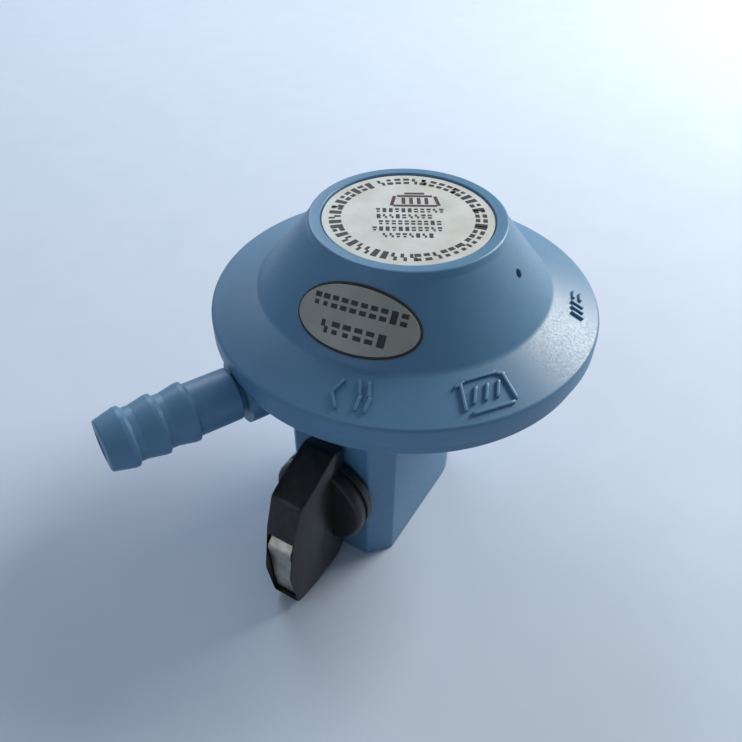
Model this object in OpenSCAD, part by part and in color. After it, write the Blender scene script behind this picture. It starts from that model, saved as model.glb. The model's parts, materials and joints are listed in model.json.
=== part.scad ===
// Low-pressure gas regulator: a round diaphragm housing on a clip-on coupling,
// with a side knob and a barbed hose tail. Millimetres, +Z up.
// The origin is at the middle of the coupling's mouth, on the bottom face.
// The hose tail points along -X.

/* [Cover] */
// Diameter of the cover's brim
brim_d = 84; // [72:1:96]
// Height of the whole regulator
total_h = 73.3; // [71:0.1:78]
// Height of the brim's upper edge above the bottom face
brim_z = 54; // [52.5:0.1:56]
// Height of the brim's upright rim
rim_h = 4.4; // [3.5:0.1:5]
// Rise of the brim from its edge to the foot of the cone
brim_rise = 4.2; // [2:0.1:6]
// Diameter at the foot of the cone
cone_foot_d = 62.8; // [56:0.2:66]
// Diameter at the top of the cone
cone_top_d = 41.8; // [40:0.2:46]
// Radius of the rounded shoulder at the top of the cone
shoulder_r = 1.5; // [0.8:0.1:2]
// Wall of the cover
cover_wall = 2.3; // [1.8:0.1:3]
// Diameter of the round nameplate
nameplate_d = 35.2; // [32:0.2:37]
// Thickness of the nameplate
nameplate_t = 0.4; // [0.3:0.1:0.6]
// Depth of the recess that holds the nameplate
nameplate_recess = 0.8; // [0.6:0.1:1.2]
// Length and height of the oval badge, measured on the cone
badge_size = [26, 13.6];
// Direction of the badge around the axis
badge_az = 213.5; // [200:0.5:230]
// Thickness of the badge
badge_t = 0.5; // [0.3:0.1:0.8]
// Direction of the vent hole around the axis
vent_az = 299; // [280:1:320]
// Diameter of the vent hole
vent_d = 1.8; // [1:0.1:2.4]
// Diameter of the adjusting thread in the cover
adjuster_d = 24; // [23:0.2:26]

/* [Cover screws] */
// Number of cover screws
screw_count = 6; // [4:1:8]
// Thread diameter of a cover screw
screw_d = 3.4; // [3:0.1:3.6]
// Diameter of a cover screw's head
screw_head_d = 6.2; // [5.6:0.1:6.6]
// Height of a cover screw's head
screw_head_h = 2; // [1.6:0.1:2.4]
// Length of a cover screw's shank
screw_len = 5.6; // [5:0.1:5.8]

/* [Diaphragm] */
// Thickness of the rubber
rubber_t = 0.8; // [0.6:0.1:1]
// Width and height of the clamped bead
bead_size = [2.4, 2];
// How far the middle of the rubber hangs below the split at rest
rubber_drop = 1.3; // [1.1:0.1:1.5]
// Diameter of the backing plate
plate_d = 46; // [40:0.5:48]
// Thickness of the backing plate
plate_t = 1; // [0.8:0.1:1.2]
// Travel of the diaphragm, from resting low to valve shut
lift = 2.4; // [1.8:0.1:2.6]
// Diameter of the stem
stem_d = 3.2; // [2.8:0.1:3.4]

/* [Lower body] */
// Height of the clamping flange, below the split
flange_h = 3; // [2.6:0.1:3.4]
// How far the flange is set in from the brim
flange_inset = 1; // [0.6:0.1:1.4]
// Level of the floor of the gas chamber
floor_z = 41.5; // [41:0.1:42]
// Wall of the bowl
bowl_wall = 2.8; // [2.4:0.1:3.2]
// Diameter of the round neck under the bowl
neck_d = 37; // [36:0.2:40]
// Level of the bottom of the neck
neck_z = 25.2; // [24.4:0.1:25.6]

/* [Coupling block] */
// Width of the coupling block
block_w = 26.8; // [26.4:0.1:30]
// Distance from the axis to the block's flat end
block_end = 30.7; // [30.7:0.1:33]
// Direction of the knob around the axis
knob_az = 206; // [200:0.5:215]
// Diameter of the inlet socket
socket_d = 20.4; // [18:0.1:20.6]
// Depth of the inlet socket
socket_depth = 10; // [9.4:0.1:10.2]
// Thickness of the base plate
base_t = 2.4; // [2:0.1:2.6]
// Outer wall around the base plate
base_wall = 1.2; // [1:0.1:1.4]
// Thickness of the lock fork
fork_t = 2; // [1.6:0.1:2.2]
// Travel of the lock fork
fork_travel = 3.2; // [2.6:0.1:3.4]

/* [Spindle] */
// Height of the spindle's axis above the bottom face
spindle_z = 20; // [19.8:0.1:20.6]
// Diameter of the spindle's inner end
spindle_d = 6; // [5.4:0.1:6.2]
// Diameter of the spindle's outer bearing
journal_d = 8.8; // [8:0.1:9.2]
// Diameter of the spindle's drum
drum_d = 13.2; // [12:0.1:13.4]
// Depth of the groove in the drum
groove_depth = 1.5; // [1.2:0.1:1.7]
// Angle that the knob turns through, in degrees
knob_turn = 90; // [60:5:90]
// Side of the square that drives the knob
drive_square = 5.6; // [5:0.1:6]

/* [Plunger] */
// Diameter of the plunger
plunger_d = 4.8; // [4.4:0.1:5]
// Diameter of the plunger's head
plunger_head_d = 8; // [7.4:0.1:8.6]
// Stroke of the plunger
plunger_stroke = 2.4; // [1.8:0.1:2.4]

/* [Knob] */
// Reach of the knob's fin above the knob's axis
fin_up = 16.4; // [14:0.1:18]
// Reach of the fin below the knob's axis
fin_down = 18.8; // [16:0.1:18.8]
// Thickness of the knob's fin
fin_t = 8; // [7.2:0.1:9.4]
// Distance from the axis to the fin's outer edge
fin_reach = 52.4; // [51.4:0.1:58]
// Diameter of the knob's round hub
hub_d = 22; // [21:0.1:24]
// Length of the knob's hub
hub_len = 5.4; // [4.8:0.1:7]
// Width of the metal catch
catch_w = 5.8; // [4.8:0.1:6]
// How far the catch's face lies inside the fin's outer edge
catch_sunk = 1.9; // [1.4:0.1:2.4]
// Travel of the catch
catch_travel = 1.6; // [1:0.1:1.8]

/* [Hose tail] */
// Height of the hose tail's axis
tail_z = 45.2; // [44.6:0.1:45.3]
// Distance from the axis to the tail's tip
tail_reach = 69.8; // [64:0.1:80]
// Diameter over the barbs
barb_d = 12.6; // [11.4:0.1:13]
// Diameter of the root between the barbs
root_d = 11.2; // [9.6:0.1:11.3]
// Diameter of the tail's bore
tail_bore = 5; // [4.4:0.1:5.2]
// Number of barbs
barb_count = 3; // [2:1:4]
// Distance from one barb to the next
barb_pitch = 6.2; // [5:0.1:6.4]
// Length of the level land on each barb
barb_land = 0.9; // [0.6:0.1:1.2]
// Length of the tapered nose ahead of the first barb
nose_len = 4.4; // [3:0.1:5]

/* [Fits] */
// Radial clearance of a running fit
run_gap = 0.05; // [0.02:0.01:0.09]
// Clearance beside a moving piece
side_gap = 0.3; // [0.25:0.01:0.35]

/* [Hidden] */

$fn = 96;
cut = 0.2; // how far a cutting shape runs past the face it opens

casting = "#5689ac";
plastic = "#1d1d1f";
steel = "#b9bcc0";
brass = "#c9a557";
rubber = "#2a2a2c";
foil = "#d6dadb";

// Housing levels and radii
brim_r = brim_d / 2;
split_z = brim_z - rim_h;
cone_foot = [cone_foot_d / 2, brim_z + brim_rise];
cone_top = [cone_top_d / 2, total_h - shoulder_r];
cone_run = cone_foot.x - cone_top.x;
cone_rise = cone_top.y - cone_foot.y;
cone_tilt = atan2(cone_run, cone_rise); // lean of the cone's side from upright
wall_across = cover_wall / cos(cone_tilt); // the cone's wall, measured level
screw_ring_r = brim_r - 5.2;
head_sink = 1.4; // how deep the screw heads sit in the flange
screw_key_d = 3; // over the corners of the hexagon socket
screw_key_depth = 1.4;
bead_out_r = screw_ring_r - 3;
bead_in_r = bead_out_r - bead_size.x;
chamber_r = bead_in_r - 1; // inside of the bowl and of the cover
flange_r = brim_r - flange_inset;
flange_z = split_z - flange_h;
bowl_r = chamber_r + bowl_wall;
neck_r = neck_d / 2;
recess_z = total_h - nameplate_recess;
cap_t = 2.4; // thickness of the cap under the nameplate
collar_wall = 3.6; // wall of the adjusting collar
adjuster_r = adjuster_d / 2;
adjuster_z = recess_z - 8; // underside of the adjuster, where the spring bears
adjuster_t = 4;
adjuster_key_r = 5.8; // over the corners of the adjuster's hexagon socket
cap_wall = 1.6;

vent_z = cone_foot.y + 0.66 * cone_rise;
screen_d = 4;
screen_t = 1;
main_coil_r = 9.3;
main_wire_r = 0.65;

// Diaphragm stack
rubber_z = split_z - rubber_drop; // middle of the rubber's flat centre
plate_z = rubber_z + rubber_t / 2;
plate_top = plate_z + plate_t;
spigot_r = 8; // raised middle of the backing plate, inside the spring
spigot_h = 1.4;
nut_r = 3.4; // over the nut's corners
nut_h = 2.4;
plate_curl = 0.7; // width of the plate's turned-up edge, each way from its diameter
plate_lip = 0.9;
plate_hole = [15.5, 2]; // distance of the plate's holes from the axis, and their radius
washer_r = 5.4;
washer_z = rubber_z - rubber_t / 2 - plate_t;
fold_in_r = plate_d / 2 + 1.2;
fold_rise = 2.2;

// Lever, between the stem on the axis and the valve
pivot_x = -9.5;
valve_x = -13;
lever_arm = -pivot_x;
valve_arm = pivot_x - valve_x;
pivot_z = washer_z - 1.4 - 1.1 + lift / 2 + 0.1;
tip_r = 0.9;
valve_tip_r = 0.7;
spool_gap = 0.2; // play above and below the lever's tips
spool_r = 2.6;
spool_core_r = 1.1;
stem_tip_z = pivot_z - lift / 2;
lever_rest = -asin(lift / 2 / lever_arm);
valve_tip_z = pivot_z + lift / 2 * valve_arm / lever_arm;
pin_r = 1;
lever_boss_r = 1.55;
lever_half_w = 2.9;
valve_bar_half = 1.1;
post_gap = side_gap + 0.1;
post_t = 2;
carrier_r = 2.6;
carrier_flat = 1.75; // from the carrier's axis to the flat that clears the lever's boss
pad_r = 1.4;
valve_open = 1.05; // rest distance from the pad to the seat
pad_t = 0.75;
slot_h = 2 * valve_tip_r + 0.4;
pad_z = valve_tip_z - slot_h / 2 - 0.6 - pad_t;
seat_z = pad_z - valve_open;

// Nozzle and excess-flow valve, in one upright bore
nozzle_r = 3.6;
nozzle_z = 34.4;
nozzle_bore_r = 1.5;
jet_r = 0.7;
flow_r = 3;
flow_z = 26;
filter_t = 1.4;
poppet_z = flow_z + filter_t + 0.25;
flow_coil_r = 1.95;
flow_wire_r = 0.16;
flow_bore_r = 1.1;
flow_seat_z = 31.8;
passage_x = -10.4;
passage_r = 1.3;

// Spindle, seen along its own axis: distances from the main axis
journal_r = journal_d / 2;
spindle_r = spindle_d / 2;
cam_room_r = 7;
cam_room_x = [-7, 5.5];
gland_r = 7.6;
gland_x = [5.7, 11.4];
drum_room_r = max(gland_r, drum_d / 2 + 1) + 0.2; // the gland and the drum go in through this room
drum_x = [11.7, 24.1];
bush_r = drum_room_r + 0.6;
bush_x = [24.4, block_end];
bore_end_x = 5.5;
cam_t = 5.2;
cam_tip_r = 2.2;
cam_lead = plunger_stroke / (knob_turn * PI / 180); // lift per radian
follower_z = spindle_z - spindle_r - 0.1;
finger_r = 1.2;
finger_x = 18.4;
finger_top = spindle_z - drum_d / 2 + groove_depth - 0.3;
drive_end = block_end + 9;

// Coupling block
block_half = block_w / 2;
block_corner = [block_end - 4.7, block_half - 4.1]; // where the flat end's corners start along and across
pocket_top = base_t + fork_t + side_gap;
fork_z = base_t + side_gap / 2;
fork_half = 11.5;
fork_x = [5.6, 23];
fork_neck_r = socket_d / 2 - 1.5;
seal_r = [4.2, 6.8];
seal_t = 1.4;
plunger_tip = socket_depth + 0.2;
head_t = 1;
flute_r = 0.7; // gas passes the plunger through these
spring_floor = 12.6;
plunger_wire_r = 0.25;
plunger_room_r = 5.4;
base_screw_at = [26.6, 6.4];
base_screw_r = 1.25;

// Knob, from its own axis
hub_x = [block_end + 0.6, block_end + 0.6 + hub_len];
hub_recess = 2.8;
fin_wide_z = -7; // level where the fin reaches furthest out
fin_outline = [[hub_x[0], fin_up - 1.4], [hub_x[0] + 3.4, fin_up], [fin_reach - 5.2, fin_up - 5],
  [fin_reach - 2.4, fin_up - 12], [fin_reach, fin_wide_z], [fin_reach - 2, -fin_down],
  [hub_x[0] + 3.4, -fin_down], [hub_x[0], 3 - fin_down]];
fin_round = [0.8, 2.4, 2.6, 8, 6, 1.2, 2.4, 0.8];
catch_z = [1 - fin_down, 2.6]; // lowest and highest point, from the knob's axis
catch_face = fin_reach - catch_sunk;
catch_back = fin_reach - 8.4;
catch_gap = 0.2; // clearance beside the catch's head
tongue_z = -7.3;
tongue_half = 1;
tongue_gap = 0.25;
catch_spring_z = -12;
catch_spring_x = hub_x[0] + 6.4;
catch_spring_r = 1.6;
catch_wire_r = 0.2;
hub_wall = 1.6;
drive_gap = 0.02; // clearance of the knob on the spindle's square
set_screw_r = 1;
set_screw_len = 5;
set_screw_x = hub_x[0] + (hub_recess + hub_len) / 2;

// Hose tail
boss_r = 7;
boss_end = flange_r + 0.2;
thread_r = 4;
shoulder_x = brim_r + 0.4; // the tail grows to its full size just clear of the brim
thread_in = bowl_r + 0.2; // the thread stops short of the chamber's wall

// A closed outline with each corner rounded by its own radius
function unit(v) = v / norm(v);
function corner_arc(a, b, c, r, steps) = let (
    u = unit(a - b),
    v = unit(c - b),
    half = acos(max(-1, min(1, u * v))) / 2,
    reach = r / tan(half),
    centre = b + unit(u + v) * r / sin(half),
    p = b + u * reach - centre,
    q = b + v * reach - centre,
    from = atan2(p.y, p.x),
    turn = atan2(p.x * q.y - p.y * q.x, p * q)
  ) [for (i = [0 : steps]) centre + r * [cos(from + turn * i / steps), sin(from + turn * i / steps)]];
function rounded(points, radii, steps = 8) = [
  for (i = [0 : len(points) - 1])
    let (n = len(points))
    each corner_arc(points[(i + n - 1) % n], points[i], points[(i + 1) % n], radii[i], steps)];

// A round-wire coil about Z from z0 to z1, its middle radius going from r0 to r1
module coil(r0, r1, z0, z1, wire, turns, steps = 14, sides = 7) {
  n = round(turns * steps);
  function mid(i) = let (t = i / n, a = 360 * turns * t, r = r0 + (r1 - r0) * t)
    [r * cos(a), r * sin(a), z0 + wire + (z1 - z0 - 2 * wire) * t];
  ring = [for (i = [0 : n]) let (a = 360 * turns * i / n) for (k = [0 : sides - 1])
    let (b = 360 * k / sides) mid(i) + wire * [cos(a) * cos(b), sin(a) * cos(b), sin(b)]];
  walls = [for (i = [0 : n - 1]) for (k = [0 : sides - 1])
    let (k2 = (k + 1) % sides) [i * sides + k, (i + 1) * sides + k, (i + 1) * sides + k2, i * sides + k2]];
  start = [[for (k = [0 : sides - 1]) k]];
  end = [[for (k = [sides - 1 : -1 : 0]) n * sides + k]];
  polyhedron(ring, concat(walls, start, end), convexity = 8);
}

// Things that face the knob are drawn along X and turned here
module toward_knob() {
  rotate([0, 0, knob_az]) children();
}

// Cylinder along X between two distances
module along_x(x, r) {
  translate([x[0], 0, 0]) rotate([0, 90, 0]) cylinder(r = r, h = x[1] - x[0]);
}

// A flat profile in Y and Z, drawn out along X
module drawn_x(x) {
  translate([x[0], 0, 0]) rotate([90, 0, 90]) linear_extrude(x[1] - x[0]) children();
}

// A flat profile in X and Z, drawn out across Y by half each way
module drawn_y(half) {
  rotate([90, 0, 0]) translate([0, 0, -half]) linear_extrude(2 * half) children();
}

module ring_of(count) {
  for (i = [0 : count - 1])
    rotate([0, 0, (i + 0.5) * 360 / count]) children();
}

// O-ring about Z: middle radius and section radius
module o_ring(r, section) {
  rotate_extrude() translate([r, 0]) circle(r = section, $fn = 24);
}

function cone_r(z) = cone_foot.x - (z - cone_foot.y) * cone_run / cone_rise;

// Everything on the cone's face is placed by its direction and level
module on_cone(az, z) {
  rotate([0, 0, az]) translate([cone_r(z), 0, z]) rotate([0, 90 - cone_tilt, 0]) children();
}

module cover_profile() {
  foot_round = 3;
  outline = rounded([[brim_r, split_z], [brim_r, brim_z], cone_foot, [cone_top.x, cone_top.y],
    [cone_top.x - shoulder_r * 0.4, total_h], [nameplate_d / 2 + 0.3, total_h],
    [nameplate_d / 2 + 0.3, recess_z], [0.5, recess_z], [0.5, split_z]],
    [0.3, 0.9, foot_round, 0.8, 0.7, 0.3, 0.05, 0.05, 0.05], 6);
  difference() {
    polygon(outline);
    square([1.2, total_h]);
  }
}

module cover_room() {
  room_top = adjuster_z - 2;
  under = split_z + 3;
  polygon([[0, split_z - cut], [chamber_r, split_z - cut], [chamber_r, under],
    [cone_r(cone_foot.y) - wall_across, cone_foot.y - 0.6], [cone_r(room_top) - wall_across, room_top],
    [adjuster_r + collar_wall, room_top + 1], [adjuster_r + collar_wall, adjuster_z - 4],
    [adjuster_r, adjuster_z - 4], [adjuster_r, total_h], [0, total_h]]);
}

module top_cover() color(casting) {
  screw_hole = screw_len - (flange_h - head_sink) + 0.4;
  difference() {
    rotate_extrude() cover_profile();
    rotate_extrude() cover_room();
    translate([0, 0, split_z - cut]) cylinder(r = bead_out_r, h = cut + bead_size.y / 2);
    ring_of(screw_count) translate([screw_ring_r, 0, split_z - cut])
      cylinder(d = screw_d, h = cut + screw_hole);
    on_cone(vent_az, vent_z) {
      translate([0, 0, -cover_wall - 1]) cylinder(d = vent_d, h = cover_wall + 2, $fn = 32);
      translate([0, 0, -cover_wall - 1]) cylinder(d = screen_d, h = screen_t + 1);
    }
  }
  difference() {
    translate([0, 0, split_z + rubber_t / 2]) cylinder(r = bead_in_r, h = bead_size.y / 2 - rubber_t / 2);
    translate([0, 0, split_z]) cylinder(r = chamber_r, h = bead_size.y);
  }
}

module nameplate() color(foil)
  translate([0, 0, recess_z]) cylinder(d = nameplate_d, h = nameplate_t);

// An oval cut from a thin shell that lies on the cone
module badge() color(foil) {
  mid = cone_foot.y + 0.5 * cone_rise;
  low = cone_foot.y - 2;
  shell = badge_t / cos(cone_tilt);
  oval = [for (i = [0 : 59]) [badge_size.y / 2 * cos(6 * i), badge_size.x / 2 * sin(6 * i)]];
  intersection() {
    difference() {
      translate([0, 0, low])
        cylinder(r1 = cone_r(low) + shell, r2 = cone_r(total_h) + shell, h = total_h - low);
      translate([0, 0, low])
        cylinder(r1 = cone_r(low), r2 = cone_r(total_h), h = total_h - low);
    }
    on_cone(badge_az, mid) translate([0, 0, -8]) linear_extrude(12) polygon(oval);
  }
}

// Snap-in cap that closes the adjusting hole, under the nameplate
module cover_cap() color(plastic)
  difference() {
    translate([0, 0, recess_z - cap_t]) cylinder(r = adjuster_r, h = cap_t);
    translate([0, 0, recess_z - cap_t - cut]) cylinder(r = adjuster_r - cap_wall, h = cap_t - 0.8);
  }

module spring_adjuster() color(brass)
  difference() {
    union() {
      translate([0, 0, adjuster_z]) cylinder(r = adjuster_r, h = adjuster_t);
      translate([0, 0, adjuster_z - 1.6]) cylinder(r = spigot_r, h = 1.7);
    }
    translate([0, 0, adjuster_z + 1]) cylinder(r = adjuster_key_r, h = adjuster_t, $fn = 6);
  }

module cover_screws() color(steel)
  ring_of(screw_count) translate([screw_ring_r, 0, flange_z + head_sink])
    difference() {
      union() {
        cylinder(d = screw_d, h = screw_len, $fn = 32);
        translate([0, 0, -screw_head_h]) cylinder(d = screw_head_d, h = screw_head_h, $fn = 48);
      }
      translate([0, 0, -screw_head_h - cut]) cylinder(d = screw_key_d, h = screw_key_depth + cut, $fn = 6);
    }

// Porous disc that keeps insects out of the vent
module vent_screen() color(steel)
  on_cone(vent_az, vent_z) translate([0, 0, -cover_wall]) cylinder(d = screen_d, h = screen_t);

module main_spring() color(steel)
  coil(main_coil_r, main_coil_r, plate_top, adjuster_z, main_wire_r, 5.5, 18, 8);

// Level of the rubber's middle across its rolled fold, from the bead (0) to the flat centre (1)
function fold_z(t) = split_z - rubber_drop * t + fold_rise * sin(180 * t) * sin(180 * t);

// Rubber disc: clamped bead, one rolled fold, and a flat centre that carries the plate
module diaphragm() color(rubber) {
  steps = 24;
  half = rubber_t / 2;
  span = chamber_r - fold_in_r;
  top = [for (i = [0 : steps]) [chamber_r - span * i / steps, fold_z(i / steps) + half]];
  low = [for (i = [steps : -1 : 0]) [chamber_r - span * i / steps, fold_z(i / steps) - half]];
  rotate_extrude() {
    polygon(concat(top, [[stem_d / 2, rubber_z + half], [stem_d / 2, rubber_z - half]], low));
    translate([chamber_r - 0.01, split_z - half]) square([bead_in_r - chamber_r + 0.02, rubber_t]);
    translate([bead_in_r, split_z - bead_size.y / 2]) square(bead_size);
  }
}

module diaphragm_plate() color(steel)
  difference() {
    rotate_extrude() polygon([[stem_d / 2, plate_z], [plate_d / 2, plate_z],
      [plate_d / 2 + plate_curl, plate_z + plate_lip], [plate_d / 2 + plate_curl, plate_top + plate_lip],
      [plate_d / 2, plate_top + plate_lip], [plate_d / 2 - plate_curl, plate_top],
      [spigot_r, plate_top], [spigot_r - 0.6, plate_top + spigot_h], [stem_d / 2, plate_top + spigot_h]]);
    ring_of(3) translate([plate_hole[0], 0, plate_z - cut])
      cylinder(r = plate_hole[1], h = plate_t + 2 * cut, $fn = 32);
  }

module lower_washer() color(steel)
  translate([0, 0, washer_z])
    difference() {
      cylinder(r = washer_r, h = plate_t);
      translate([0, 0, -cut]) cylinder(d = stem_d, h = plate_t + 2 * cut);
    }

// Stem with a spool at its foot, where the lever's fork sits
module diaphragm_stem() color(brass) {
  spool_low = stem_tip_z - tip_r - spool_gap;
  spool_top = stem_tip_z + tip_r + spool_gap;
  translate([0, 0, spool_low - 1]) cylinder(r = spool_r, h = 1);
  translate([0, 0, spool_low - 0.1]) cylinder(r = spool_core_r, h = spool_top - spool_low + 0.2);
  translate([0, 0, spool_top]) cylinder(r = spool_r, h = washer_z - spool_top);
  translate([0, 0, washer_z - 0.1]) cylinder(d = stem_d, h = plate_top + spigot_h + nut_h + 0.8 - washer_z);
}

module stem_nut() color(steel)
  translate([0, 0, plate_top + spigot_h])
    difference() {
      cylinder(r = nut_r, h = nut_h, $fn = 6);
      translate([0, 0, -cut]) cylinder(d = stem_d, h = nut_h + 2 * cut);
    }

// Bar on a pivot: a fork round the stem at one end, a narrow tip in the carrier at the other
module lever() color(steel)
  toward_knob() translate([pivot_x, 0, pivot_z]) rotate([0, -lever_rest, 0])
    difference() {
      union() {
        translate([0, -lever_half_w, -0.7]) cube([lever_arm, 2 * lever_half_w, 1.4]);
        translate([-valve_arm, -valve_bar_half, -0.5]) cube([valve_arm, 2 * valve_bar_half, 1]);
        rotate([90, 0, 0]) cylinder(r = lever_boss_r, h = 2 * lever_half_w, center = true);
        translate([lever_arm, 0, 0]) rotate([90, 0, 0])
          cylinder(r = tip_r, h = 2 * lever_half_w, center = true);
        translate([-valve_arm, 0, 0]) rotate([90, 0, 0])
          cylinder(r = valve_tip_r, h = 2 * valve_bar_half, center = true);
      }
      rotate([90, 0, 0]) cylinder(r = pin_r + run_gap, h = 3 * lever_half_w, center = true);
      translate([lever_arm - 1.5, -spool_core_r - 0.4, -2]) cube([3, 2 * spool_core_r + 0.8, 4]);
    }

module lever_pin() color(steel)
  toward_knob() translate([pivot_x, 0, pivot_z]) rotate([90, 0, 0])
    cylinder(r = pin_r, h = 2 * (lever_half_w + post_gap + post_t), center = true);

// Small piston that holds the pad and slides inside the nozzle's crown
module valve_carrier() color(brass)
  toward_knob() translate([valve_x, 0, 0])
    difference() {
      translate([0, 0, pad_z + 0.2]) cylinder(r = carrier_r, h = valve_tip_z + slot_h / 2 + 0.5 - pad_z - 0.2);
      translate([0, 0, pad_z]) cylinder(r = pad_r, h = pad_t);
      translate([-1.3, -valve_bar_half - side_gap, valve_tip_z - slot_h / 2])
        cube([5, 2 * (valve_bar_half + side_gap), slot_h]);
      translate([carrier_flat, -carrier_r, pad_z]) cube([carrier_r, 2 * carrier_r, 6]);
    }

module valve_pad() color(rubber)
  toward_knob() translate([valve_x, 0, pad_z]) cylinder(r = pad_r, h = pad_t);

// Screwed-in inlet nozzle with its seat, and a crown that guides the carrier
module nozzle() color(brass) {
  crown_top = pad_z + 1.1;
  toward_knob() translate([valve_x, 0, 0])
    difference() {
      translate([0, 0, nozzle_z]) cylinder(r = nozzle_r, h = crown_top - nozzle_z);
      difference() {
        translate([0, 0, floor_z + 0.6]) cylinder(r = carrier_r + run_gap, h = 6);
        translate([0, 0, floor_z]) cylinder(r1 = jet_r + 1.2, r2 = jet_r + 0.5, h = seat_z - floor_z);
      }
      translate([1.5, -5, floor_z + 0.6]) cube([5, 10, 6]);
      translate([0, 0, nozzle_z - cut]) cylinder(r = nozzle_bore_r, h = floor_z - nozzle_z);
      translate([0, 0, nozzle_z]) cylinder(r = jet_r, h = crown_top - nozzle_z, $fn = 32);
      translate([0, 0, nozzle_z + 1]) difference() {
        cylinder(r = nozzle_r + 1, h = 1.4);
        translate([0, 0, -cut]) cylinder(r = nozzle_r - 1.1, h = 2);
      }
    }
}

module nozzle_o_ring() color(rubber)
  toward_knob() translate([valve_x, 0, nozzle_z + 1.7]) o_ring(nozzle_r - 0.55, 0.54);

// Seat that the poppet closes against when too much gas flows
module flow_seat() color(brass)
  toward_knob() translate([valve_x, 0, flow_seat_z])
    difference() {
      cylinder(r = flow_r, h = nozzle_z - flow_seat_z);
      translate([0, 0, -cut]) cylinder(r = flow_bore_r, h = nozzle_z - flow_seat_z + 2 * cut, $fn = 48);
    }

module flow_spring() color(steel)
  toward_knob() translate([valve_x, 0, 0])
    coil(flow_coil_r, flow_coil_r, poppet_z + 1, flow_seat_z, flow_wire_r, 3, 14, 6);

module flow_poppet() color(brass)
  toward_knob() translate([valve_x, 0, poppet_z]) {
    cylinder(r = 2.3, h = 1);
    translate([0, 0, 1]) cylinder(r = 1.4, h = 0.9, $fn = 48);
    translate([0, 0, 1.9]) cylinder(r1 = 1.4, r2 = 0.7, h = 0.9, $fn = 48);
  }

module inlet_filter() color(brass)
  toward_knob() translate([valve_x, 0, flow_z]) cylinder(r = flow_r, h = filter_t);

// Plan of the coupling block: round about the axis, flat toward the knob, corners eased
module block_plan(inset = 0) {
  end = block_end - inset;
  half = block_half - inset;
  corner = [block_corner.x, block_corner.y - inset];
  circle(r = half);
  polygon([[0, -half], [corner.x, -half], [end, -corner.y], [end, corner.y], [corner.x, half], [0, half]]);
}

module bowl_solid() {
  bowl_foot = floor_z - 3;
  shoulder_z = flange_z - 2.4;
  rotate_extrude() polygon([[0, bowl_foot - 8], [neck_r, bowl_foot - 8], [neck_r, bowl_foot],
    [bowl_r, shoulder_z], [bowl_r, flange_z], [flange_r, flange_z], [flange_r, split_z], [0, split_z]]);
}

module bowl_room() {
  slope_z = flange_z - 0.2;
  rotate_extrude() polygon([[0, floor_z], [neck_r - 1, floor_z], [chamber_r, slope_z],
    [chamber_r, split_z + cut], [0, split_z + cut]]);
}

// Rooms inside the block for the spindle, drawn along X at the spindle's height
module spindle_rooms() {
  translate([0, 0, spindle_z]) {
    along_x(cam_room_x, cam_room_r);
    along_x([-9.8, 0], 2.6);
    along_x([bore_end_x - 0.1, gland_x[1] + 0.1], gland_r);
    along_x([gland_x[1], bush_x[0] + 0.1], drum_room_r);
    along_x([bush_x[0], block_end + cut], bush_r);
  }
}

module lower_body() color(casting)
  difference() {
    union() {
      bowl_solid();
      translate([0, 0, neck_z]) cylinder(r = neck_r, h = 8);
      translate([0, 0, neck_z - 4]) cylinder(r1 = block_half - 0.1, r2 = neck_r, h = 4.01);
      toward_knob() linear_extrude(flange_z - 1.6) block_plan();
      intersection() {
        translate([0, 0, tail_z]) along_x([-boss_end, -neck_r + 4], boss_r);
        translate([-60, -20, 20]) cube([60, 40, split_z - 20]);
      }
      toward_knob() lever_posts();
    }
    difference() {
      bowl_room();
      toward_knob() lever_posts();
    }
    translate([0, 0, split_z - bead_size.y / 2]) cylinder(r = bead_out_r, h = 5);
    ring_of(screw_count) translate([screw_ring_r, 0, flange_z - cut]) {
      cylinder(d = screw_d + 0.4, h = flange_h + 2 * cut);
      cylinder(d = screw_head_d + 0.3, h = head_sink + cut);
    }
    translate([0, 0, tail_z]) {
      along_x([-thread_in - 1, -neck_r + 2], tail_bore / 2);
      along_x([-boss_end - cut, -thread_in], thread_r);
    }
    toward_knob() {
      spindle_rooms();
      block_cuts();
      valve_bores();
      translate([pivot_x, 0, pivot_z]) rotate([90, 0, 0]) cylinder(r = pin_r, h = 20, center = true, $fn = 48);
    }
  }

// Two posts that hold the lever's pin
module lever_posts() {
  for (side = [-1, 1])
    translate([pivot_x - 1.8, side * (lever_half_w + post_gap + post_t / 2) - post_t / 2, floor_z - 1])
      cube([3.6, post_t, pivot_z + 1.7 - floor_z + 1]);
}

module valve_bores() {
  translate([valve_x, 0, 0]) {
    translate([0, 0, nozzle_z]) cylinder(r = nozzle_r, h = floor_z - nozzle_z + cut);
    translate([0, 0, flow_z]) cylinder(r = flow_r, h = nozzle_z - flow_z + cut);
  }
  translate([passage_x, 0, spindle_z]) cylinder(r = passage_r, h = flow_z - spindle_z + 1, $fn = 48);
}

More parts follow.
